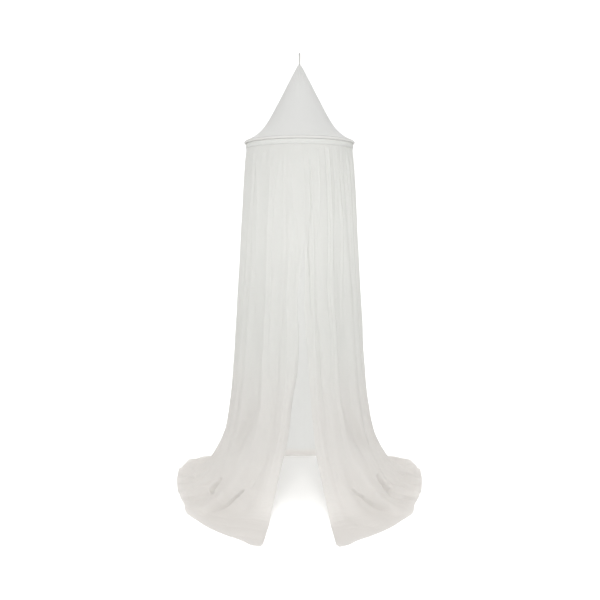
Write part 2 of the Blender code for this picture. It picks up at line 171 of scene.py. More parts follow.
sweep = [(FLOOR_FRONT, 0.0)]
for turn in np.linspace(0, math.pi / 2, CURVE_STEPS + 1):
    sweep.append((BACKDROP_START + BACKDROP_RADIUS * math.sin(turn),
                  BACKDROP_RADIUS * (1 - math.cos(turn))))
sweep.append((BACKDROP_START + BACKDROP_RADIUS, BACKDROP_RADIUS + BACKDROP_TOP))
ground_points = [(x, y, FLOOR + z) for x in (-FLOOR_HALF_WIDTH, FLOOR_HALF_WIDTH) for y, z in sweep]
ground = mesh_piece("pale_floor", ground_points, grid_faces(2, len(sweep), flip=True),
                    plain_material("pale_floor", (0.94, 0.94, 0.94), 0.9, FLOOR_GLOW))
print("the floor sweeps up", BACKDROP_RADIUS + BACKDROP_TOP, "m")

# %% Light the scene
SKY_STRENGTH = 0.78
FRONT_SHARE, BACK_SHARE, OVERHEAD_SHARE = 0.42, 0.16, 0.46   # of a white sky's light
OVERHEAD_SPREAD = 100         # degrees, so that it casts no edge of shade
AIM = Vector((0, 0, FLOOR + 1.2))


def soft_lamp(name, place, size, share):
    """A square area lamp facing the canopy, as bright there as this share of a white sky."""
    data = bpy.data.lights.new(name, "AREA")
    data.size = size
    away = AIM - Vector(place)
    data.energy = share * math.pi**2 * away.length_squared
    lamp = bpy.data.objects.new(name, data)
    lamp.location = place
    lamp.rotation_euler = away.to_track_quat("-Z", "Y").to_euler()
    bpy.context.scene.collection.objects.link(lamp)


world = bpy.data.worlds.new("pale_sky")
world.use_nodes = True
fill(world.node_tree, world.node_tree.nodes["Background"],
     {"Color": (1, 1, 1, 1), "Strength": SKY_STRENGTH})
bpy.context.scene.world = world
soft_lamp("front_lamp", (-0.1, -7.0, FLOOR + 4.4), 2.4, FRONT_SHARE)
soft_lamp("back_lamp", (0.0, 2.6, FLOOR + 1.2), 2.0, BACK_SHARE)
overhead = bpy.data.lights.new("overhead_light", "SUN")
overhead.energy = OVERHEAD_SHARE * math.pi
overhead.angle = math.radians(OVERHEAD_SPREAD)
bpy.context.scene.collection.objects.link(bpy.data.objects.new("overhead_light", overhead))
bpy.context.scene.view_settings.view_transform = "Standard"
print("a front lamp, a back lamp, a soft light from above and a pale sky")

# %% [markdown]
# ## Reading tables smoothly
# The panels' plan and folds are short tables: a row for each place where something changes.
# Between rows a monotone cubic is read, which never swings past the values it joins.

# %% Helpers for tables and soft steps


def smooth_read(keys, values, places):
    """Read a rising table at many places, without swinging past its rows."""
    keys, values = np.asarray(keys, float), np.asarray(values, float)
    places = np.clip(places, keys[0], keys[-1])
    slopes = np.diff(values) / np.diff(keys)
    tangents = np.concatenate([slopes[:1], np.zeros(len(keys) - 2), slopes[-1:]])
    rising = slopes[:-1] * slopes[1:] > 0
    both = slopes[:-1] + slopes[1:]
    tangents[1:-1][rising] = 2 * (slopes[:-1] * slopes[1:])[rising] / both[rising]
    row = np.clip(np.searchsorted(keys, places, side="right") - 1, 0, len(keys) - 2)
    span = keys[row + 1] - keys[row]
    share = (places - keys[row]) / span
    rise = share**2 * (3 - 2 * share)
    level = values[row] * (1 - rise) + values[row + 1] * rise
    lead = share * (1 - share) ** 2 * tangents[row]
    trail = share**2 * (1 - share) * tangents[row + 1]
    return level + span * (lead - trail)


def ease(low, high, values):
    """0 below low, 1 above high, and a smooth rise between."""
    share = np.clip((values - low) / (high - low), 0, 1)
    return share * share * (3 - 2 * share)


def bump(off, half_width):
    """A soft ridge: 1 at its crest, 0 past its half width."""
    share = np.clip(np.abs(off) / half_width, 0, 1)
    return np.cos(share * math.pi / 2) ** 2


print("half way up a soft step:", float(ease(0, 1, 0.5)))

# %% [markdown]
# ## The plan of a curtain panel
# A panel is a bell: it leaves the hoop, leans out a little, flares near the floor and then lies
# on it. One could drape it by simulation, but the photograph fixes where the hem lies, so the
# plan is a table instead: for places round the hoop, where the cloth meets the floor and where
# its hem ends. The values are close to those of the solids, and a little finer.

# %% The plan, the parting and the main folds
BELL_LEAN = 0.43              # share of the swing that grows evenly with the drop
BELL_FLARE_POWER = 7          # the rest grows with this power of the drop
FOOT_BEND = 0.10              # length of cloth that bends from hanging to lying
OVERLAP_ANGLE = 3.0           # degrees that each panel runs past the middle of the front
LAYER_OFFSET = 0.0011         # keeps the left panel outside the right one
LAYER_SPREAD = 9.0
LAYER_LEVELS = (0.30, 0.55)
PARTING_REACH = 15.0          # degrees over which the pull on a front edge dies away
HANG_STEPS, LYING_STEPS, STEP_CROWDING = 128, 32, 1.6

# The angle round the hoop, then where the cloth meets the floor and where its hem ends, both as a
# bearing and a reach from the axis. Angles and bearings are degrees off the front.
PLAN = (
    (-3, 13.2, 0.49, 10.5, 0.735),
    (-1.5, 14, 0.488, 11.2, 0.755),
    (1, 15.6, 0.485, 13.2, 0.75),
    (5, 18.2, 0.479, 17.5, 0.718),
    (10, 21.5, 0.47, 22.5, 0.698),
    (20, 30, 0.445, 33, 0.66),
    (27, 37, 0.425, 40.5, 0.634),
    (34, 44, 0.42, 47, 0.622),
    (40, 54, 0.425, 58, 0.574),
    (48, 63, 0.435, 69, 0.56),
    (60, 74, 0.448, 80, 0.556),
    (75, 86, 0.458, 92, 0.568),
    (90, 98, 0.463, 104, 0.592),
    (105, 110, 0.465, 115, 0.612),
    (120, 122, 0.46, 126, 0.6),
    (135, 136, 0.438, 139, 0.515),
    (150, 151, 0.406, 153, 0.43),
    (165, 165.5, 0.376, 166, 0.38),
    (180, 180, 0.364, 180, 0.366),
)
# Height above the floor, then how far right of the middle the left and the right front edge hang
PARTING = (
    (0, -0.113, 0.117), (0.067, -0.099, 0.103), (0.13, -0.088, 0.092), (0.22, -0.068, 0.074),
    (0.3, -0.05, 0.063), (0.44, -0.032, 0.049), (0.58, -0.008, 0.039), (0.69, -0.003, 0.029),
    (0.85, -0.009, 0.019), (1, 0.008, 0.022), (1.13, 0.026, 0.019), (1.3, 0.026, 0.014),
    (1.53, 0.01, 0),
)
PARTING_HEIGHTS, LEFT_EDGE, RIGHT_EDGE = zip(*PARTING)
# One row for each hanging fold: place on the hoop and half width in degrees, then millimetres
# out at the hoop, at the waist, at the foot and at the hem
FOLD_LEVELS = (0, 0.12, 0.5, 1, 2)
FOLD_SHOULDER = 0.35          # share of the waist's depth that shows soon below the hoop
FOLD_SPREAD = 1.35
LEFT_FOLDS = (
    (-2, 5, 0, 3, 4, 2), (22, 5, 0.5, 3, 5, 2),
    (47.5, 6, 1, 7, 16, 3), (60, 7, 1, 6, 19, 5),
    (74, 7, 1.5, 7, 12, 3), (88, 7, 1, 8, 19, 5),
    (103, 7.5, 1.5, 7, 13, 4), (119, 8, 1, 9, 18, 6),
    (135, 8.5, 1.5, 8, 14, 6), (152, 9, 1, 7, 12, 5),
    (169, 8, 1.5, 6, 9, 5),
)
RIGHT_FOLDS = (
    (-2, 5, 0, 2, 4, 2), (7, 5, 0.5, 3, 5, 2),
    (18.5, 6.5, 1, 7, 14, 2), (47.5, 5.5, 5, 8, 16, 3),
    (59, 5.5, 5.5, 7, 19, 5), (70.5, 5.5, 5, 7, 11, 3),
    (85, 7.5, 2.5, 7, 20, 5), (101, 7, 1.5, 8, 13, 4),
    (116, 8, 1.5, 7, 17, 6), (133, 9, 1, 9, 14, 6),
    (149, 8, 1.5, 6, 11, 5), (166, 9, 1, 7, 10, 5),
)
# The bell is drawn in under its folds, so that their crests make its outline: by how many
# millimetres at each level, and the share of them at each place on the hoop.
DRAWN_IN_LEVELS = (0, 0.15, 0.34, 0.46, 0.54, 0.61, 0.69, 0.76, 0.82, 0.87, 0.91, 0.95, 0.98)
DRAWN_IN_DEPTHS = (0, 3.5, 8, 11, 13, 18, 26, 33, 38, 33, 23, 10, 0)
DRAWN_IN_ANGLES = (-3, 30, 69, 85, 94, 112, 180)
DRAWN_IN_SHARES = (0.35, 0.4, 0.5, 0.92, 0.9, 0.6, 0.35)
# Ridges of the cloth on the floor, in millimetres: out from the middle and ahead of the axis at
# both ends, then the height, and the widths of the front and the back slope
LYING_FOLDS = (
    (235, 250, 392, 415, 20, 34, 62), (380, 205, 520, 205, 18, 36, 60),
    (430, 45, 580, 15, 12, 40, 48), (450, -100, 590, -130, 15, 42, 48),
    (420, -245, 560, -275, 17, 40, 45),
)
LYING_FADE = 0.05
LYING_LEVELS = (0.86, 1.05)
MILLIMETRE = 0.001
print(len(PLAN), "rows of plan,", len(LEFT_FOLDS) + len(RIGHT_FOLDS), "main folds")

# %% [markdown]
# ## Folds that wander
# A fold seldom hangs straight down. The ones that show from the front are strokes: a few points
# down the cloth, each with its place on the hoop, its level and how far it stands out. Ridges
# are positive and valleys negative. Two valleys on each side run on as sharp creases where the
# cloth breaks over itself on the floor.

# %% Strokes of the front, ridges and valleys
# Half width in degrees, then points: place on the hoop in degrees, level in hundredths of the
# way from the hoop (0) to the foot (100) and on to the hem (200), and millimetres out
LEFT_STROKES = (
    (8.8, (28, 0, 0.5), (28, 12, 3.5), (28, 50, 10), (28, 80, 19), (32, 90, 27), (35, 100, 32),
     (36, 130, 19), (36, 200, 5)),
    (9, (9, 0, 0.5), (8, 50, 8), (6, 80, 12), (7, 100, 14), (8, 200, 2)),
    (2.2, (53, 0, 1), (45, 13, 2.2), (42.8, 25, 2.6), (41, 34, 2.6), (38.6, 47, 1.2), (38, 56, 0)),
    (2.2, (31, 4, 0), (29.5, 13, 2.4), (30, 24, 2), (28.5, 36, 2.8), (27.8, 60, 2.6), (26.8, 69, 1),
     (26.5, 74, 0)),
    (2.8, (27.8, 56, 0), (26.3, 68, 3.6), (25.6, 75, 5), (27, 80, 4.6), (28.5, 86, 2), (29.5, 93, 0)),
    (1.8, (16, 0, 0.6), (15.7, 12, 2.4), (14.7, 26, 1.4), (14, 34, 0)),
    (1.9, (8.7, 26, 0), (8.3, 33, 1.8), (7, 46, 2.4), (6.8, 60, 2.8), (4.5, 70, 3.8), (4.5, 80, 4.2),
     (5, 86, 2.6), (5.5, 94, 0)),
    (1.6, (9, 2, 1), (8.2, 13, 1.2), (5, 27, 1.8), (1, 36, 1.8), (-0.9, 43, 0)),
    (2.2, (36, 8, 0), (35.5, 15, -1.2), (33, 28, -1.4), (31.2, 55, -1.6), (31.4, 68, -2.2), (32.5, 74, 0)),
    (4.6, (30.5, 64, 0), (31.5, 73.5, -5), (37.2, 78.5, -11), (42.3, 84.2, -15), (44.5, 88, -15),
     (45.8, 91, -9), (45.5, 95, -4), (45.4, 98, 0)),
    (2.4, (45, 94.8, 0), (44.2, 96.4, -18), (43.2, 98, -30), (41.6, 100, -30), (40.2, 112, -23),
     (40.6, 132, -12), (41, 157, -4), (43, 200, 0)),
    (1.5, (24, 2, -0.8), (24, 11, -1.6), (25.3, 25, -2.2), (23.4, 42, -2.4), (24, 53, -2.2),
     (22.6, 64, -2.4), (21, 75, -2), (21, 84, -1.6), (21, 90, 0)),
    (1.7, (13, 2, -0.8), (13, 10, -1.8), (12, 28, -2.2), (10.7, 38, -2.2), (11, 47, -2.4), (14, 60, -2.6),
     (12.6, 69, -2.2), (13.2, 80, -1.2), (13.4, 85, 0)),
    (1.9, (13.4, 84, 0), (15.7, 88.6, -2.6), (17.9, 90.5, -3.2), (19.8, 93.1, -3.6), (21.5, 94.8, -3.4),
     (23.5, 96, 0)),
    (1.2, (24.6, 95.7, 0), (25.8, 96.8, -12), (26.6, 98, -17), (27.6, 99.5, -17), (28, 112, -14),
     (28.3, 130, -8), (28.5, 155, -3), (28.5, 180, 0)),
    (3.2, (-4.2, 42, 0), (-4.2, 50, -9), (-4.2, 80, -14), (-4.2, 93, 0)),
)
RIGHT_STROKES = (
    (8.8, (30, 0, 2), (29.5, 12, 4), (28, 50, 10), (28, 80, 19), (32, 90, 27), (35.5, 100, 32),
     (36.5, 130, 19), (36.5, 200, 5)),
    (1.9, (19, 0, 1.2), (18.8, 4, 2.2), (17.3, 16, 2.6), (14.2, 26, 1.8), (13, 34, 0)),
    (1.9, (30, 0, 2), (31, 10, 4.2), (31, 17, 4), (30.2, 28, 2.6), (27, 41, 2.6), (28.5, 53, 2.8),
     (27.6, 66, 1.6), (28, 73, 0)),
    (2.8, (28, 58, 0), (27.4, 67, 3.2), (28.2, 75, 4.4), (29.2, 80, 3.8), (30.5, 86, 1.8), (31, 93, 0)),
    (1.9, (40.5, 0, 1.2), (42, 12, 2), (43.3, 22, 2.8), (40.5, 36, 3), (37.5, 50, 1.4), (37, 58, 0)),
    (2, (48.5, 0, 1.5), (50, 13, 2.4), (50, 20, 1.4), (50, 28, 0)),
    (1.5, (26.5, 0, -1), (27, 13, -3.4), (25.5, 27, -2.4), (22.8, 42, -2.4), (23.3, 58, -2.2),
     (20.6, 70, -2.2), (21.4, 78, -1.8), (21.2, 85, -1.2), (21, 90, 0)),
    (2.1, (35, 0, -1), (36.5, 13, -3.2), (33, 28, -1.6), (31, 44, -1.4), (31.4, 63, -1.8), (32, 70, -2),
     (33, 76, 0)),
    (4.6, (31.5, 66, 0), (33, 73.5, -5), (36.2, 76.5, -10), (41.9, 84.3, -15), (46, 87.2, -15),
     (46.6, 90.5, -9), (44.5, 94, -5), (42, 97.5, 0)),
    (2.6, (46.4, 93.8, 0), (45.6, 95.5, -20), (44.8, 97.3, -34), (42.4, 99.5, -34), (41.4, 113, -24),
     (41, 136, -12), (42, 175, -3), (43, 200, 0)),
    (1.4, (46, 0, -1.2), (45.6, 10, -4.6), (46, 17, -3.4), (46, 27, 0)),
    (1.8, (56.5, 0, -1.5), (57, 10, -4.4), (58, 17, -2.4), (57, 28, -2), (56, 42, 0)),
    (1.6, (10.5, 42, 0), (10.8, 49, -1.6), (12, 58, -3), (11.8, 68, -2.4), (13.6, 75, -1.6), (14.4, 85, 0)),
    (1.9, (13.8, 84, 0), (15.3, 88.6, -2.6), (17.4, 91, -3.2), (18.6, 93.5, -3.8), (20.4, 95, -3),
     (22.5, 96, 0)),
    (1.2, (22.6, 95, 0), (24.4, 96.3, -12), (25.8, 97.5, -17), (27.4, 99, -17), (28.6, 118.5, -13),
     (29, 150, -5), (29, 180, 0)),
    (1.9, (8, 20, 0), (8, 28, 2.4), (7.8, 44, 1.6), (6, 58, 3), (4.2, 67, 2.6), (4.8, 77, 2.4),
     (5.8, 85, 1.8), (6, 93, 0)),
    (1.1, (5.8, 0, -1), (6.8, 8, -2.4), (6.4, 17, -3.8), (2.8, 25, -4.2), (1.2, 32, -5), (2.8, 39, -4),
     (3.3, 44, -2.4), (4, 52, 0)),
    (3.6, (-4.4, 40, 0), (-4.4, 50, -4), (-4.4, 84, -6), (-4.4, 93, 0)),
    (9, (50, 0, -2), (50, 10, -9), (50, 20, -7), (50, 33, 0)),
)
STROKE_SPREAD = 0.6           # how much wider a fold gets by the foot of the hanging cloth


def strokes_between(first, last, seed):
    """Uneven strokes where none is listed: ridges and valleys in turn, each with its own wander."""
    chance = np.random.default_rng(seed)
    strokes, place, way = [], first, -1
    while place < last:
        wander = chance.uniform(-1.6, 1.6, 4)
        depths = way * chance.uniform(1.4, 3.2, 4)
        points = zip(place + wander, (6, 35, 65, 88), depths)
        strokes.append((chance.uniform(1.7, 2.6), (place, 0, 0.3 * way), *points, (place, 115, 0)))
        place += chance.uniform(3.6, 6.4)
        way = -way
    return strokes


LEFT_STROKES += tuple(strokes_between(50.0, 172.0, 21))
RIGHT_STROKES += tuple(strokes_between(62.0, 172.0, 22))
print(len(LEFT_STROKES), "strokes on the left,", len(RIGHT_STROKES), "on the right")

# %% Wrinkles of the lying cloth
# Half width, then points: out from the middle, ahead of the axis and up, all in millimetres
FLOOR_WRINKLES = (
    (8, (455, 140, 0), (490, 150, -7), (535, 155, -6), (560, 160, 0)),
    (9, (445, -20, 0), (480, 0, -6), (530, 5, -5), (565, 0, 0)),
    (11, (400, 120, 0), (445, 60, 6), (490, 35, 6), (540, 20, 0)),
    (8, (475, 200, 0), (500, 210, 6), (530, 200, 4), (545, 205, 0)),
    (8, (390, 235, 0), (430, 245, 5), (495, 262, 6), (525, 250, 0)),
    (8, (360, 330, 0), (400, 360, 4), (440, 370, 0)),
    (9, (370, 300, 0), (420, 315, -5), (460, 320, -3), (490, 310, 0)),
    (10, (470, -130, 0), (510, -120, -5), (550, -130, 0)),
)
print(len(FLOOR_WRINKLES), "wrinkles on each side")

# %% [markdown]
# ## Uneven cloth from a lattice of chance
# Washed cotton is never quite smooth. A coarse lattice of random heights, read smoothly, gives
# wide soft dents; the seed is fixed, so that the cloth is the same each time.

# %% A soft random surface
LATTICE_ROUND, LATTICE_DOWN = 64, 128    # the chance repeats after so many cells


def rumple(across, along, pitch_across, pitch_along, seed):
    """Soft random heights from -1 to 1 over places in metres, uneven at the given pitches."""
    chance = np.random.default_rng(seed)
    lattice = chance.uniform(-1, 1, (LATTICE_ROUND, LATTICE_DOWN))
    u, v = across / pitch_across, along / pitch_along
    column, row = np.floor(u).astype(int), np.floor(v).astype(int)
    ease_u, ease_v = ease(0, 1, u - column), ease(0, 1, v - row)

    def corner(step_u, step_v):
        return lattice[(column + step_u) % LATTICE_ROUND, (row + step_v) % LATTICE_DOWN]

    near = corner(0, 0) * (1 - ease_u) + corner(1, 0) * ease_u
    far = corner(0, 1) * (1 - ease_u) + corner(1, 1) * ease_u
    return near * (1 - ease_v) + far * ease_v


print("one dent:", round(float(rumple(np.array(0.3), np.array(0.2), 0.05, 0.08, 4)), 3))

# %% [markdown]
# ## From the plan to a smooth bell
# Each column of cloth is a path: down from the casing to its foot, round a bend, and along the
# floor to its hem. Paths are made with many small steps, then shared out into rows, closer
# together where the cloth lies and creases.

# %% Lay out one side's bell without its folds
COLUMN_PLACES = ((0, -3.0), (150, 58.0), (182, 81.0), (222, 110.0), (280, 180.0))
SIDE_SEAM = 182               # the column where the front gore ends and the back gore starts
ROW_PLACES = ((0, 0.0), (100, 0.58), (150, 0.80), (240, 1.0))
TOP_TUCK = 0.006              # how far the curtain runs up behind the casing
TOP_RADIUS = CASING_RADIUS - 0.0009


def shared_out(places):
    """Every step of a table of (step, value) rows."""
    steps, values = zip(*places)
    return smooth_read(steps, values, np.arange(steps[-1] + 1))


def on_plan(bearing, reach, side):
    """Places on the floor from bearings in degrees off the front and reaches from the axis."""
    turn = np.radians(bearing)
    return np.stack([side * reach * np.sin(turn), -reach * np.cos(turn), 0 * turn], axis=-1)


def read_plan(angles):
    """The plan at each angle. A mirrored last row lets both sides meet smoothly at the back."""
    known, *columns = zip(*PLAN, (195, 194.5, PLAN[-2][2], 194, PLAN[-2][4]))
    return [smooth_read(known, column, angles) for column in columns]


def hanging_paths(angles, side, edge):
    """Fine steps down every column, and for each step 0 at the casing to 1 at the foot to 2."""
    foot_bearing, foot_reach, hem_bearing, hem_reach = read_plan(angles)
    top = on_plan(angles, TOP_RADIUS, side)
    foot = on_plan(foot_bearing, foot_reach, side)
    hem = on_plan(hem_bearing, hem_reach, side)
    drop = 1 - (1 - np.linspace(0, 1, HANG_STEPS + 1)) ** STEP_CROWDING
    share = BELL_LEAN * drop + (1 - BELL_LEAN) * drop**BELL_FLARE_POWER
    hang = top[:, None] + (foot - top)[:, None] * share[None, :, None]
    hang[:, :, 2] = (CASING_FOOT + TOP_TUCK - FLOOR) * (1 - drop)
    parted = smooth_read(PARTING_HEIGHTS, edge, hang[0, :, 2]) - hang[0, :, 0]
    hang[:, :, 0] += np.exp(-(((angles + OVERLAP_ANGLE) / PARTING_REACH) ** 2))[:, None] * parted
    run = np.linspace(0, 1, LYING_STEPS + 1)[1:]
    foot = hang[:, -1]
    lie = foot[:, None] + (hem - foot)[:, None] * run[None, :, None]
    return np.concatenate([hang, lie], axis=1), np.concatenate([drop, 1 + run])


def lengths_along(places):
    """How far each point is from the first one, along a path or along each line of a grid."""
    steps = np.linalg.norm(np.diff(places, axis=0), axis=-1)
    return np.concatenate([0 * steps[:1], np.cumsum(steps, axis=0)])


def read_path(path, lengths, wanted):
    return np.stack([np.interp(wanted, lengths, path[:, axis]) for axis in range(3)], axis=-1)


def bell_of(side, edge):
    """The smooth bell of one side: places (column, row, xyz), readings, angles, cloth lengths."""
    angles = shared_out(COLUMN_PLACES)
    shares = shared_out(ROW_PLACES)
    paths, readings = hanging_paths(angles, side, edge)
    places, levels, totals = [], [], []
    for path in paths:
        lengths = lengths_along(path)
        foot = lengths[HANG_STEPS]
        reach = min(FOOT_BEND, 0.95 * (lengths[-1] - foot))
        start, corner, end = read_path(path, lengths, [foot - reach, foot, foot + reach])
        inside = np.abs(lengths - foot) < reach
        turn = ((lengths[inside] - foot + reach) / (2 * reach))[:, None]
        path[inside] = (1 - turn) ** 2 * start + 2 * turn * (1 - turn) * corner + turn**2 * end
        lengths = lengths_along(path)
        places.append(read_path(path, lengths, lengths[-1] * shares))
        levels.append(np.interp(lengths[-1] * shares, lengths, readings))
        totals.append(lengths[-1])
    return np.array(places), np.array(levels), angles, np.array(totals)[:, None] * shares


print("one side has", len(shared_out(COLUMN_PLACES)), "columns and", len(shared_out(ROW_PLACES)), "rows")

# %% [markdown]
# ## Folds, ridges and creases
# The folds push the bell outwards along its own surface: first the main folds that the solids
# have, then the small ones. Where the cloth lies, ridges lift it and creases press it down
# again. All of it is one height over the bell, so the cloth stays one sheet and never crosses
# itself.

# %% Add up the heights


def outward_of(places):
    """The direction out of the cloth at each point of the sheet that goes all the way round."""
    round_way = np.gradient(places, axis=0)
    down_way = np.gradient(places, axis=1)
    outward = np.cross(round_way, down_way)
    return outward / np.maximum(np.linalg.norm(outward, axis=-1, keepdims=True), 1e-12)


def main_folds(folds, angles, levels):
    height = np.zeros(levels.shape)
    for place, half_width, at_hoop, at_waist, at_foot, at_hem in folds:
        depths = (0.0, at_hoop + FOLD_SHOULDER * at_waist, at_waist, at_foot, at_hem)
        depth = smooth_read(FOLD_LEVELS, depths, levels)
        height += depth * bump(angles[:, None] - place, FOLD_SPREAD * half_width)
    return height * MILLIMETRE


def stroked(strokes, angles, levels):
    """The height of all the strokes of one side."""
    height = np.zeros(levels.shape)
    for half_width, *points in strokes:
        places, known, depths = zip(*points)
        known = np.array(known) / 100
        place = smooth_read(known, places, levels)
        depth = smooth_read(known, depths, levels) * ((levels >= known[0]) & (levels <= known[-1]))
        width = half_width * (1 + STROKE_SPREAD * ease(0.4, 0.85, levels) * (known[0] < 0.9))
        height += depth * bump(angles[:, None] - place, width)
    return height * MILLIMETRE


def drawn_in(angles, levels):
    """How far inside its plan the bell lies."""
    depth = smooth_read(DRAWN_IN_LEVELS, DRAWN_IN_DEPTHS, levels) * MILLIMETRE
    return depth * smooth_read(DRAWN_IN_ANGLES, DRAWN_IN_SHARES, angles)[:, None]


def lying_ridges(out, ahead, levels):
    """The height of the ridges of the lying cloth, each steeper towards the hem."""
    height = np.zeros(levels.shape)
    for start_out, start_ahead, end_out, end_ahead, crest, front, back in MILLIMETRE * np.array(LYING_FOLDS):
        length = math.hypot(end_out - start_out, end_ahead - start_ahead)
        way_out, way_ahead = (end_out - start_out) / length, (end_ahead - start_ahead) / length
        run = (out - start_out) * way_out + (ahead - start_ahead) * way_ahead
        across = (ahead - start_ahead) * way_out - (out - start_out) * way_ahead
        ends = ease(-LYING_FADE, LYING_FADE, run) * ease(-LYING_FADE, LYING_FADE, length - run)
        height += crest * ends * bump(across, np.where(across > 0, front, back))
    return height * ease(*LYING_LEVELS, levels)


def floor_wrinkles(out, ahead, levels):
    """The height of the wrinkles of the lying cloth: each is a ridge or a dent along a line."""
    height = np.zeros(levels.shape)
    for half_width, *points in FLOOR_WRINKLES:
        points = MILLIMETRE * np.array(points)
        nearest, depth = np.full(levels.shape, np.inf), np.zeros(levels.shape)
        for (out_a, ahead_a, depth_a), (step_out, step_ahead, rise) in zip(points, np.diff(points, axis=0)):
            run = (out - out_a) * step_out + (ahead - ahead_a) * step_ahead
            share = np.clip(run / (step_out**2 + step_ahead**2), 0, 1)
            off = np.hypot(out - out_a - share * step_out, ahead - ahead_a - share * step_ahead)
            depth = np.where(off < nearest, depth_a + rise * share, depth)
            nearest = np.minimum(off, nearest)
        height += depth * bump(nearest, half_width * MILLIMETRE)
    return height * ease(0.95, 1.1, levels)


def layer_shift(angles, levels, side):
    near = np.exp(-(((angles + OVERLAP_ANGLE) / LAYER_SPREAD) ** 2))
    return -side * LAYER_OFFSET * near[:, None] * (1 - ease(*LAYER_LEVELS, levels))


WALL_MIDDLE = -0.001          # from the solids' outer face to the middle of their wall
CLOTH_LIFT = 0.0013           # the lying cloth's middle above the floor, over its doubled hem
LAST_ROWS = 60


def side_heights(side, edge, folds, strokes):
    """One side's bell and the heights of all its listed folds and creases."""
    places, levels, angles, lengths = bell_of(side, edge)
    out, ahead = side * places[:, :, 0], -places[:, :, 1]
    height = main_folds(folds, angles, levels) + stroked(strokes, angles, levels)
    height += lying_ridges(out, ahead, levels) + floor_wrinkles(out, ahead, levels)
    # The folds fade out under the casing, and high up where the two front edges overlap.
    free = np.maximum(ease(2.5, 6.0, angles)[:, None], ease(0.2, 0.32, levels)) * ease(0.004, 0.03, levels)
    height = height * free + layer_shift(angles, levels, side) + WALL_MIDDLE - drawn_in(angles, levels)
    return places, levels, lengths, height, free


def whole_round(left, right):
    """Both sides as one: from the left front edge round the back to the right front edge."""
    return np.concatenate([left, right[-2::-1]])


left = side_heights(-1, LEFT_EDGE, LEFT_FOLDS, LEFT_STROKES)
right = side_heights(1, RIGHT_EDGE, RIGHT_FOLDS, RIGHT_STROKES)
bell, levels, lengths, height, free = (whole_round(*pair) for pair in zip(left, right))
around = lengths_along(bell)
from_edge = np.minimum(around, around[-1] - around)
around = around - around[len(around) // 2]
on_floor = ease(0.96, 1.05, levels)
crumpled = 1.4 * (1 - ease(0.03, 0.12, from_edge)) * (1 - on_floor) + 0.5 * on_floor
# Each kind of unevenness: millimetres, pitch round and down in metres, seed, and where it shows
for depth, pitch_round, pitch_down, seed, where in (
        (1.0, 0.017, 0.5, 11, free * (1 - ease(0.04, 0.16, levels))),
        (1.4, 0.055, 0.13, 12, free * ease(0.05, 0.4, levels)),
        (0.9, 0.024, 0.020, 13, ease(0.5, 0.8, levels) * (0.25 + crumpled)),
        (0.8, 0.012, 0.30, 14, free * (1 - ease(0.45, 0.7, levels)))):
    height += depth * MILLIMETRE * rumple(around + 3, lengths, pitch_round, pitch_down, seed) * where
outward = outward_of(bell)
# Where the last stretch of cloth lies flat, its folds rise; where it stands, they only go outwards.
last_stretch = bell[:, -1] - bell[:, -LAST_ROWS]
lying = np.linalg.norm(last_stretch, axis=-1) - np.abs(last_stretch[:, 2])
outward[:, :, 2] *= ease(0.0, 0.03, lying)[:, None]
cloth = bell + outward * height[:, :, None]
cloth[:, :, 2] = np.maximum(cloth[:, :, 2], CLOTH_LIFT) + FLOOR
flat = np.stack([around, lengths], axis=-1)
facing = outward_of(cloth)
print("the hem is", round(float(lengths_along(cloth)[-1, -1]), 3), "m round")

# %% [markdown]
# ## Cotton that lets light through
# The cloth is a thin plain weave, washed and a little crinkled. Much of the light that meets it
# goes through; that, and a lighter colour painted on the back of the curtain as painted light, makes
# the inside of the canopy nearly as bright as its outside. A Translucent shader mixed with the Principled
# one lets the light through.

# %% Node helpers and the weave
THREAD_PITCH = 0.0006


def tree_with(name, kind, inputs, outputs):
    """A new node tree with named sockets, and its own input and output nodes."""
    tree = bpy.data.node_groups.new(name, kind)
    for way, sockets in (("INPUT", inputs), ("OUTPUT", outputs)):
        for label, value in sockets.items():
            tree.interface.new_socket(label, in_out=way, socket_type="NodeSocket" + value)
    return tree, tree.nodes.new("NodeGroupInput"), tree.nodes.new("NodeGroupOutput")


def put(tree, kind, values=(), **settings):
    """Add a node, set its properties, and link or set its inputs."""
    node = tree.nodes.new(kind)
    for key, value in settings.items():
        setattr(node, key, value)
    fill(tree, node, values)
    return node


def maths(tree, operation, *sources):
    return put(tree, "ShaderNodeMath", enumerate(sources), operation=operation)


def spread(tree, value, low, high, to_low=0.0, to_high=1.0, kind="LINEAR"):
    """A value between low and high, put at the same share between two others."""
    return put(tree, "ShaderNodeMapRange", {"Value": value, "From Min": low, "From Max": high,
                                            "To Min": to_low, "To Max": to_high}, interpolation_type=kind)


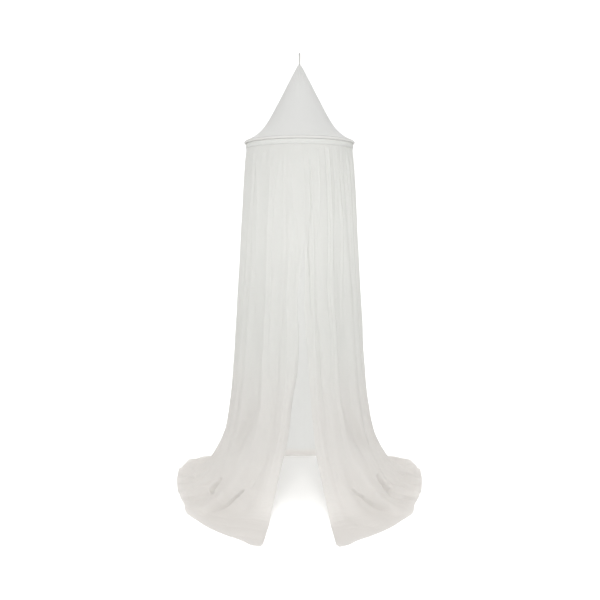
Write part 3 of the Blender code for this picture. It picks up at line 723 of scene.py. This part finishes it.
def weave_group():
    """Threads, slubs and crinkles of the cloth, as a height and a mask of thick places."""
    group, given, result = tree_with("cotton_weave", "ShaderNodeTree",
                                     {"Flat place": "Vector", "Crinkle": "Float"},
                                     {"Height": "Float", "Slub": "Float"})
    flat = given.outputs["Flat place"]
    parts = put(group, "ShaderNodeSeparateXYZ", {"Vector": flat})
    waves = [maths(group, "SINE", maths(group, "MULTIPLY", parts.outputs[axis], 2 * math.pi / THREAD_PITCH))
             for axis in ("X", "Y")]
    slubs = []
    for stretch in ((900, 60, 1), (60, 900, 1)):
        scaled = put(group, "ShaderNodeVectorMath", {0: flat, 1: stretch}, operation="MULTIPLY")
        slubs.append(put(group, "ShaderNodeTexNoise", {"Vector": scaled, "Scale": 1.0, "Detail": 2.0}))
    slub = maths(group, "ADD", *slubs)
    wide = put(group, "ShaderNodeVectorMath", {0: flat, 1: (1.0, 1.6, 1.0)}, operation="MULTIPLY")
    crinkle = put(group, "ShaderNodeTexNoise", {"Vector": wide, "Scale": 55.0, "Detail": 4.0,
                                                "Roughness": 0.6, "Distortion": 0.6})
    crinkle = maths(group, "MULTIPLY", crinkle, given.outputs["Crinkle"])
    fine = maths(group, "MULTIPLY", maths(group, "MULTIPLY", *waves), 0.00003)
    rough = maths(group, "MULTIPLY", slub, 0.00012)
    soft = maths(group, "MULTIPLY", crinkle, 0.0016)
    height = maths(group, "ADD", maths(group, "ADD", fine, rough), soft)
    fill(group, result, {"Height": height, "Slub": slub})
    return group


COTTON_WEAVE = weave_group()
print("weave group with", len(COTTON_WEAVE.nodes), "nodes")

# %% [markdown]
# ## The cloth's tone and painted light
# The cotton's colour is set by height: lighter at the top and a little greyer half way down, as painted
# light from above, and warmer by the floor. The back of the curtain is painted lighter and less warm for its
# inside.
# Hems and seams are two layers, so they let less light through and stand up a little, and their stitches
# pull a shallow groove.

# %% The cotton itself
# Colours by height above the floor: lighter at the top and greyer half way down is painted light from above;
# warmer towards the floor.
CURTAIN_TONES_AND_PAINTED_LIGHT = ((0.0, (0.832, 0.818, 0.801)), (0.3, (0.807, 0.797, 0.782)),
                 (0.7, (0.808, 0.809, 0.794)), (1.2, (0.838, 0.839, 0.825)))
# The back of the curtain, above the floor, is painted lighter and less warm: painted light for its inside,
# which the lamps light through the cloth.
BACK_PAINTED_LIGHT_TONES = ((0.4, (0.828, 0.830, 0.822)), (0.9, (0.858, 0.860, 0.852)))
THICK_SHADE = 0.985           # thick threads are this much darker
LIGHT_THROUGH = 0.68
HEM_LIGHT = 0.9               # share of that light that two layers let through
HEM_STITCH_DEPTH = 0.12       # where the stitches run, as a share of the hem's width
RAMP_TOP = 2.0                # metres above the floor where the colour ramp ends


def tone_ramp(tree, above_floor, tones_and_painted_light):
    """The cloth's colour by its height above the floor, which carries painted light and shade."""
    ramp = put(tree, "ShaderNodeValToRGB", {"Fac": maths(tree, "DIVIDE", above_floor, RAMP_TOP)})
    stops = ramp.color_ramp.elements
    stops.remove(stops[1])
    stops[0].position, stops[0].color = tones_and_painted_light[0][0] / RAMP_TOP, (*tones_and_painted_light[0][1], 1)
    for height, colour in tones_and_painted_light[1:]:
        stops.new(height / RAMP_TOP).color = (*colour, 1)
    ramp.color_ramp.interpolation = "EASE"
    return ramp


def hem_group():
    """Hems and seams from how deep a point lies in one: a mask of two layers and a height."""
    group, given, result = tree_with("sewn_edges", "ShaderNodeTree", {"Hem depth": "Float"},
                                     {"Doubled": "Float", "Height": "Float"})
    doubled = spread(group, given, 0.005, 0.05)
    off_stitches = maths(group, "ABSOLUTE", maths(group, "SUBTRACT", given, HEM_STITCH_DEPTH))
    groove = spread(group, off_stitches, 0.0, 0.09, 0.00025, 0.0, "SMOOTHSTEP")
    raised = maths(group, "MULTIPLY", doubled, 0.0003)
    height = maths(group, "SUBTRACT", raised, maths(group, "MULTIPLY", groove, doubled))
    fill(group, result, {"Doubled": doubled, "Height": height})
    return group


SEWN_EDGES = hem_group()


def cotton(name, crinkle, through, tones_and_painted_light, back_painted_light_tones=None):
    """Thin off-white cotton: toned by height with painted light and shade, greyer in thick threads, doubled
    at its hems.
    """
    material = bpy.data.materials.new(name)
    material.use_nodes = True
    tree = material.node_tree
    shader = tree.nodes["Principled BSDF"]
    flat = put(tree, "ShaderNodeUVMap", uv_map="flat")
    weave = put(tree, "ShaderNodeGroup", {"Flat place": flat, "Crinkle": crinkle}, node_tree=COTTON_WEAVE)
    hem_depth = put(tree, "ShaderNodeAttribute", attribute_name="hem_depth").outputs["Fac"]
    sewn = put(tree, "ShaderNodeGroup", {"Hem depth": hem_depth}, node_tree=SEWN_EDGES)
    where = put(tree, "ShaderNodeTexCoord").outputs["Object"]
    place = put(tree, "ShaderNodeSeparateXYZ", {"Vector": where}).outputs
    above_floor = maths(tree, "SUBTRACT", place["Z"], FLOOR)
    tone = tone_ramp(tree, above_floor, tones_and_painted_light)
    # Painted light: the back of the curtain, above the floor, takes the lighter back colours.
    if back_painted_light_tones:
        inside = tone_ramp(tree, above_floor, back_painted_light_tones)
        back_painted_light_share = maths(tree, "MULTIPLY", spread(tree, place["Y"], 0.10, 0.28),
                        spread(tree, place["Z"], FLOOR + 0.03, FLOOR + 0.05))
        tone = put(tree, "ShaderNodeMix", {"Factor": back_painted_light_share, 6: tone, 7: inside},
                   data_type="RGBA").outputs[2]
    thick = spread(tree, weave.outputs["Slub"], 1.0, 1.6, 1.0, THICK_SHADE)
    colour = put(tree, "ShaderNodeVectorMath", {0: tone, "Scale": thick}, operation="SCALE")
    height = maths(tree, "ADD", weave.outputs["Height"], sewn.outputs["Height"])
    relief = put(tree, "ShaderNodeBump", {"Strength": 1.0, "Distance": 1.0, "Height": height})
    fill(tree, shader, {"Base Color": colour, "Normal": relief, "Roughness": 0.9,
                        "Specular IOR Level": 0.15, "Sheen Weight": 0.06})
    if through:
        glow = put(tree, "ShaderNodeBsdfTranslucent", {"Color": colour, "Normal": relief})
        share = spread(tree, sewn.outputs["Doubled"], 0.0, 1.0, through, through * HEM_LIGHT)
        both = put(tree, "ShaderNodeMixShader", {0: share, 1: shader, 2: glow})
        fill(tree, tree.nodes["Material Output"], {"Surface": both})
    return material


CURTAIN_COTTON = cotton("curtain_cotton", 1.0, LIGHT_THROUGH, CURTAIN_TONES_AND_PAINTED_LIGHT, BACK_PAINTED_LIGHT_TONES)
print("curtain cotton ready")

# %% [markdown]
# ## Hems and seams
# The curtain's foot is turned up 25 mm and its front edges 12 mm, each held by one row of
# stitches. The gores meet in flat seams. For each point of the grid, how deep it lies in the
# nearest of these is kept as an attribute: 0 at the hem's inner line and 1 at the cloth's edge.

# %% Find the hems of the curtain
FOOT_HEM, EDGE_HEM, SEAM_WIDTH = 0.025, 0.012, 0.006
BACK_SEAM, END = len(cloth) - 1 - SIDE_SEAM, len(cloth) - 1
across = lengths_along(cloth)
from_foot = lengths[:, -1:] - lengths
from_edge = np.minimum(across, across[-1] - across)
from_seam = np.minimum(np.abs(across - across[SIDE_SEAM]), np.abs(across - across[BACK_SEAM]))
hem_depth = np.maximum(1 - from_foot / FOOT_HEM, 1 - from_edge / EDGE_HEM)
hem_depth = np.clip(np.maximum(hem_depth, 1 - from_seam / SEAM_WIDTH), -1, 1)
print(f"{(hem_depth > 0).mean():.1%} of the grid lies in a hem or a seam")

# %% [markdown]
# ## Cut and hang the curtain
# Three widths of cotton go round: a gore on each side of the opening and a wide one behind. They
# meet in seams at the canopy's sides, where these hardly show. Each gore is a grid of the points
# above. Solidify gives it a real thickness, twice as much where the cloth is doubled.

# %% Make the three gores
COTTON_THICKNESS = 0.0005


def add_flat_places(piece, flat):
    """A UV map in metres of flat cloth, so that the weave has its real size everywhere."""
    layer = piece.data.uv_layers.new(name="flat")
    corners = np.empty(len(piece.data.loops), int)
    piece.data.loops.foreach_get("vertex_index", corners)
    layer.data.foreach_set("uv", flat.reshape(-1, 2)[corners].ravel())


def apply_modifiers(piece):
    """Turn what the modifiers make into the piece's own mesh."""
    graph = bpy.context.evaluated_depsgraph_get()
    finished = bpy.data.meshes.new_from_object(piece.evaluated_get(graph))
    piece.modifiers.clear()
    piece.data = finished


def weld(piece):
    """Join the points that lie on each other, where a round sheet meets itself."""
    mesh = bmesh.new()
    mesh.from_mesh(piece.data)
    bmesh.ops.remove_doubles(mesh, verts=mesh.verts, dist=1e-6)
    mesh.to_mesh(piece.data)
    mesh.free()


def cloth_piece(name, places, flat, hem_depth, thickness, material, flip=False, closed=False):
    """A sheet from a grid of places, with its flat places, its hems and a real thickness."""
    columns, rows = places.shape[:2]
    piece = mesh_piece(name, places.reshape(-1, 3), grid_faces(columns, rows, flip), material)
    add_flat_places(piece, flat)
    hems = piece.data.attributes.new("hem_depth", "FLOAT", "POINT")
    hems.data.foreach_set("value", np.ascontiguousarray(hem_depth.reshape(-1), dtype=np.float32))
    doubled = ease(-0.1, 0.1, hem_depth.reshape(-1))
    group = piece.vertex_groups.new(name="doubled")
    for point in np.flatnonzero(doubled > 0):
        group.add([int(point)], float(doubled[point]), "REPLACE")
    if closed:
        weld(piece)
    if thickness:
        wall = piece.modifiers.new("thickness", "SOLIDIFY")
        wall.thickness = 2 * thickness
        wall.vertex_group = "doubled"
        wall.thickness_vertex_group = 0.5
        wall.offset = 0
        wall.use_rim = True
        apply_modifiers(piece)
    piece.vertex_groups.clear()
    return piece


def count(piece):
    piece.data.calc_loop_triangles()
    return len(piece.data.loop_triangles)


GORES = {"curtain_cloth_left": (0, SIDE_SEAM, ["curtain_left_front"]),
         "curtain_cloth_back": (SIDE_SEAM, BACK_SEAM, ["curtain_left_back", "curtain_right_back"]),
         "curtain_cloth_right": (BACK_SEAM, END, ["curtain_right_front"])}
gores = {}
for name, (first, last, nodes) in GORES.items():
    columns = slice(first, last + 1)
    gores[name] = cloth_piece(name, cloth[columns], flat[columns], hem_depth[columns],
                              COTTON_THICKNESS, CURTAIN_COTTON, flip=True)
    print(name, count(gores[name]), "triangles")

# %% [markdown]
# ## The roof, the hoop and the casing
# The roof is one sheet wrapped into a cone, with a seam at the back and small gathers where it
# closes round the tape. The hoop is a rod in a tight sleeve. The casing is the doubled band
# under it that the curtain is sewn to, slightly puckered by its stitches.

# %% Turn the roof, the hoop and the casing
ROUND = 384                   # steps round, from the middle of the back to itself
ROOF_STRAIGHT_SHARE = 0.76
ROOF_FLARE_POWER = 11
ROOF_ROWS = 66
ROOF_GATHERS = 17
ROOF_TIP = 0.0065
ROOF_HEM = 0.009
ROOF_FOOT_RADIUS = HOOP_RADIUS - 0.001   # the roof's hem is tucked in on top of the hoop
ROOF_CAP = ((0.0012, 0.0004), (0.0034, 0.0006), (0.0054, 0.0014))   # radius, below the tip
TURNS = np.linspace(-math.pi, math.pi, ROUND + 1)


def dents_round(along, cells, pitch, seed):
    """Soft chance round a turned piece, the same on both sides of its seam."""
    return rumple((TURNS[:, None] / (2 * math.pi) + 0.5) * cells, along + 3, 1.0, pitch, seed)


def turned_piece(name, radius, height, push, hem_depth, material, thickness):
    """A round sheet from its profile, pushed outwards unevenly, closed at the back."""
    lengths = lengths_along(np.stack([radius, height], axis=-1))
    reach = radius + push
    places = np.stack([reach * np.sin(TURNS)[:, None], -reach * np.cos(TURNS)[:, None],
                       np.broadcast_to(height, reach.shape)], axis=-1)
    flat = np.stack(np.broadcast_arrays(TURNS[:, None] * radius.max(), lengths), axis=-1)
    piece = cloth_piece(name, places, flat, hem_depth, thickness, material, closed=True)
    print(name, count(piece), "triangles")
    return piece, places


ROOF_FOOT = roof_low.z - FLOOR
# The roof's cotton is darker than the curtain's: painted shade, as the roof faces the light from above.
ROOF_COTTON_PAINTED_SHADE = cotton("roof_cotton", 0.25, 0.5,
                     ((ROOF_FOOT, (0.730, 0.730, 0.720)), (ROOF_FOOT + 0.07, (0.734, 0.734, 0.725))))
# The casing's cotton is darker than the curtain's, which is painted shade, and lighter in its top 8 mm,
# which is painted light against the shade under the hoop.
CASING_COTTON_PAINTED_SHADE_AND_LIGHT = cotton("casing_cotton", 0.4, 0.35,
                       ((casing_high.z - FLOOR - 0.008, (0.696, 0.698, 0.680)),
                        (casing_high.z - FLOOR, (0.82, 0.822, 0.80))))
HOOP_LEVEL = HOOP_Z - FLOOR
# The sleeve is dark round its middle, partly the rod showing through and partly painted shade; its top and
# bottom are lighter, painted light against the shade in the gaps to the roof and to the casing.
HOOP_COTTON_AND_PAINTED_LIGHT = cotton("covered_hoop", 0.3, 0.0,
                     ((HOOP_LEVEL - HOOP_TUBE, (0.58, 0.577, 0.558)), (HOOP_LEVEL, (0.29, 0.288, 0.276)),
                      (HOOP_LEVEL + HOOP_TUBE, (0.56, 0.557, 0.541))))
# The tape is darker than the curtain's cotton, and darker still towards its top.
TAPE_COTTON = cotton("loop_tape", 0.2, 0.1,
                     ((-FLOOR - 0.022, (0.45, 0.448, 0.432)), (-FLOOR - 0.008, (0.41, 0.408, 0.392)),
                      (-FLOOR, (0.31, 0.308, 0.296))))

share = np.linspace(0.01, 1, ROOF_ROWS)
swell = ROOF_STRAIGHT_SHARE * share + (1 - ROOF_STRAIGHT_SHARE) * share**ROOF_FLARE_POWER
tip = roof_high.z - 0.0005
cap_radius, cap_down = zip(*ROOF_CAP)
radius = np.array([*cap_radius, *(ROOF_TIP + (ROOF_FOOT_RADIUS - ROOF_TIP) * swell)])
down = np.array([*cap_down, *((tip - roof_low.z - 0.0005) * share)])
gathers = 0.0011 * np.sin(TURNS[:, None] * ROOF_GATHERS + 2 * dents_round(down, 5, 0.2, 6))
push = gathers * ease(0.001, 0.012, down) * (1 - ease(0.02, 0.16, down))
push += 0.0014 * dents_round(down, 24, 0.09, 5) * ease(0.05, 0.25, down)
push += 0.0006 * dents_round(down, LATTICE_ROUND, 0.03, 8) * ease(0.31, 0.345, down)
off_seam = (math.pi - np.abs(TURNS))[:, None] * radius
roof_hems = np.clip(np.maximum(1 - off_seam / SEAM_WIDTH, 1 - (down[-1] - down) / ROOF_HEM), -1, 1)
roof_hems[:, down < 0.03] = -1
roof, roof_places = turned_piece("roof_cloth", radius, tip - down, push, roof_hems, ROOF_COTTON_PAINTED_SHADE,
                                 COTTON_THICKNESS)

ring = np.linspace(0, 2 * math.pi, 25)[::-1]
ruching = 0.00018 * dents_round(0 * ring, 4 * LATTICE_ROUND, 1.0, 9) * ease(-0.2, 0.3, np.cos(ring))
hoop, _ = turned_piece("hoop_sleeve", HOOP_RADIUS + HOOP_TUBE * np.cos(ring),
                       HOOP_Z + HOOP_TUBE * np.sin(ring), ruching, 0 * ruching - 1, HOOP_COTTON_AND_PAINTED_LIGHT, 0)

drop = np.linspace(0, 1, 15)
casing_height = casing_high.z + (CASING_FOOT - casing_high.z) * drop
puckers = 0.0006 * dents_round(drop, 3 * LATTICE_ROUND, 0.6, 10) * (0.3 + 0.7 * np.sin(drop * math.pi))
casing_hems = np.clip(1 - np.abs(1 - drop) * 8 + 0 * puckers, -1, 1)
casing, casing_places = turned_piece("casing_band", CASING_RADIUS - 0.0006 + 0.0008 * np.sin(drop * math.pi),
                                     casing_height, puckers, casing_hems, CASING_COTTON_PAINTED_SHADE_AND_LIGHT, 0.00045)

# %% [markdown]
# ## The hanging loop
# A narrow cotton tape is folded in two. Its fold makes the eye for the hook, and its two ends
# are stitched together and sewn into the tip of the roof.

# %% Bend the tape into its loop
TAPE_WIDTH, TAPE_THICKNESS = 0.008, 0.0009
EYE_RADIUS, EYE_HEIGHT = 0.00375, -0.003
LEGS_CLOSE, LEGS_MEET, TAPE_END = -0.024, -0.0415, -0.0585
LAYERS_APART = 0.00055        # from the loop's middle to the middle of each layer where they meet

leg_heights = np.linspace(TAPE_END, EYE_HEIGHT, 56)
leg_reach = LAYERS_APART + (EYE_RADIUS - LAYERS_APART) * ease(LEGS_MEET, LEGS_CLOSE, leg_heights)
bend = np.linspace(0, math.pi, 26)[1:-1]
loop_y = np.concatenate([-leg_reach, -EYE_RADIUS * np.cos(bend), leg_reach[::-1]])
loop_z = np.concatenate([leg_heights, EYE_HEIGHT + EYE_RADIUS * np.sin(bend), leg_heights[::-1]])
tape_across = np.linspace(-TAPE_WIDTH / 2, TAPE_WIDTH / 2, 9)
tape_places = np.array([[(x, y, z) for y, z in zip(loop_y, loop_z)] for x in tape_across])
tape_lengths = lengths_along(tape_places[0])
tape_flat = np.stack(np.broadcast_arrays(tape_across[:, None], tape_lengths), axis=-1)
loop = cloth_piece("loop_tape", tape_places, tape_flat, np.full(tape_flat.shape[:2], -1.0),
                   TAPE_THICKNESS / 2, TAPE_COTTON)
print(f"tape {tape_lengths[-1] * 1000:.0f} mm long,", count(loop), "triangles")

# %% [markdown]
# ## Stitches
# Each stitch is a short thread that lies on the cloth and dips in at both ends. Thousands of
# them follow the hems, so one small shape is put on a row of points by Geometry Nodes: each
# point carries the way its seam runs and the way its cloth faces.

# %% Build the stitching tree
STITCH_PITCH, STITCH_LENGTH, STITCH_WIDTH = 0.0035, 0.0026, 0.0006


def stitch_tree():
    """Puts a thread of the given size on every point, along its way and facing out."""
    tree, given, result = tree_with("stitches", "GeometryNodeTree",
                                    {"Geometry": "Geometry", "Length": "Float", "Width": "Float",
                                     "Thread": "Material"}, {"Geometry": "Geometry"})
    points, length, width, thread = given.outputs[:4]
    ball = put(tree, "GeometryNodeMeshIcoSphere", {"Radius": 0.5, "Subdivisions": 1})
    way, facing = (put(tree, "GeometryNodeInputNamedAttribute", {"Name": label}, data_type="FLOAT_VECTOR")
                   for label in ("way", "facing"))
    along = put(tree, "FunctionNodeAlignRotationToVector", {"Vector": way}, axis="X")
    turned = put(tree, "FunctionNodeAlignRotationToVector", {"Rotation": along, "Vector": facing},
                 axis="Z", pivot_axis="X")
    size = put(tree, "ShaderNodeCombineXYZ", {"X": length, "Y": width, "Z": width})
    placed = put(tree, "GeometryNodeInstanceOnPoints",
                 {"Points": points, "Instance": ball, "Rotation": turned, "Scale": size})
    real = put(tree, "GeometryNodeRealizeInstances", {"Geometry": placed})
    done = put(tree, "GeometryNodeSetMaterial", {"Geometry": real, "Material": thread})
    fill(tree, result, {"Geometry": done})
    return tree


STITCHES = stitch_tree()
STITCH_INPUTS = {item.name: item.identifier for item in STITCHES.interface.items_tree
                 if item.in_out == "INPUT"}


def spots_along(path, facing, pitch=STITCH_PITCH):
    """Evenly spaced points on a path: their places, the way it runs there and the way it faces."""
    run = lengths_along(path)
    wanted = np.arange(pitch / 2, run[-1] - pitch / 2, pitch)
    way = read_path(path, run, wanted + pitch / 4) - read_path(path, run, wanted - pitch / 4)
    faces = read_path(facing, run, wanted)
    return np.concatenate([read_path(path, run, wanted), way, faces], axis=1)


def stitched(name, rows, lift):
    """One piece with the stitches of several rows, each lifted onto the face of its cloth."""
    spots = np.concatenate(rows)
    place, way, facing = spots[:, :3], spots[:, 3:6], spots[:, 6:]
    facing = facing / np.linalg.norm(facing, axis=1, keepdims=True)
    piece = mesh_piece(name, place + facing * lift, [], THREAD)
    for label, values in (("way", way), ("facing", facing)):
        attribute = piece.data.attributes.new(label, "FLOAT_VECTOR", "POINT")
        attribute.data.foreach_set("vector", np.ascontiguousarray(values, dtype=np.float32).ravel())
    modifier = piece.modifiers.new("stitches", "NODES")
    modifier.node_group = STITCHES
    for label, value in (("Length", STITCH_LENGTH), ("Width", STITCH_WIDTH), ("Thread", THREAD)):
        modifier[STITCH_INPUTS[label]] = value
    apply_modifiers(piece)
    piece.data.shade_smooth()
    print(name, len(spots), "stitches,", count(piece), "triangles")
    return piece


THREAD = plain_material("sewing_thread", (0.82, 0.815, 0.795), 0.7)
print("stitches", STITCH_PITCH * 1000, "mm apart")

# %% Sew the curtain, the roof, the casing and the loop
NEAR_COLUMNS = 20             # more than enough columns to hold a hem
FIRST_ROW = 4                 # where the stitches down the cloth start


def row_across(lines, faces, runs, hem):
    """Stitches where each line of the cloth has gone from an edge to the stitches of its hem."""
    wanted = [hem * (1 - HEM_STITCH_DEPTH)]
    path, facing = (np.concatenate([read_path(line, run, wanted) for line, run in zip(grid, runs)])
                    for grid in (lines, faces))
    return spots_along(path, facing)


def upright_row(first, step, hem):
    """Stitches down the cloth beside one of its columns, on the side that the step goes to."""
    columns = slice(first, first + NEAR_COLUMNS * step, step)
    grids = cloth[columns], facing[columns], lengths_along(cloth[columns])
    return row_across(*(grid.swapaxes(0, 1)[FIRST_ROW:] for grid in grids), hem)


stitches = {}
for name, (first, last, nodes) in GORES.items():
    up = slice(first, last + 1), slice(None, None, -1)
    rows = [row_across(cloth[up], facing[up], from_foot[up], FOOT_HEM)]
    for column, step in ((first, 1), (last, -1)):
        rows.append(upright_row(column, step, EDGE_HEM if column in (0, END) else SEAM_WIDTH))
    stitches[name] = stitched(name.replace("cloth", "stitches"), rows, COTTON_THICKNESS + 0.0001)


def row_on(path):
    """Stitches along a line of a turned piece, facing straight out."""
    return spots_along(path, path * (1, 1, 0))


casing_stitches = stitched("casing_stitches", [row_on(casing_places[:, -2])], 0.0006)
roof_rows = [row_on(path) for path in (roof_places[:, -3], roof_places[2, 14:], roof_places[-3, 14:])]
roof_stitches = stitched("roof_stitches", roof_rows, 0.0006)
box_x = np.array([-0.0028, 0.0028, 0.0028, -0.0028, -0.0028])
box_z = np.array([-0.0437, -0.0437, -0.0500, -0.0500, -0.0437])
box_front = np.stack([box_x, 0 * box_x - LAYERS_APART, box_z], axis=-1)
box_back = box_front * (-1, -1, 1)
loop_rows = [spots_along(corner, corner * (0, 1e3, 0), 0.0018) for corner in (box_front, box_back)]
loop_stitches = stitched("loop_stitches", loop_rows, TAPE_THICKNESS / 2 + 0.0001)

# %% [markdown]
# ## Hang each piece on the body
# Every piece rides on the one body that there is, and so do its stitches. The solids that each sheet stands
# for are hidden.


def declare(piece, nodes, places, sewing):
    """Hang a sheet and its stitches on the root body and hide the solids it replaces; the sheet's length
    from its grid is worked out but not used.
    """
    length = float(lengths_along(places.swapaxes(0, 1))[-1].max())
    for part in (piece, sewing):
        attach(part, "root")
    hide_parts(*nodes)


for name, (first, last, nodes) in GORES.items():
    declare(gores[name], nodes, cloth[first:last + 1], stitches[name])
declare(roof, ["roof"], roof_places, roof_stitches)
declare(casing, ["casing"], casing_places, casing_stitches)
for piece, slot in ((loop, "tape"), (loop_stitches, "tape"), (hoop, "covered_hoop")):
    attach(piece, "root")
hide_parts("hanging_loop")
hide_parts(*HOOP_RODS)
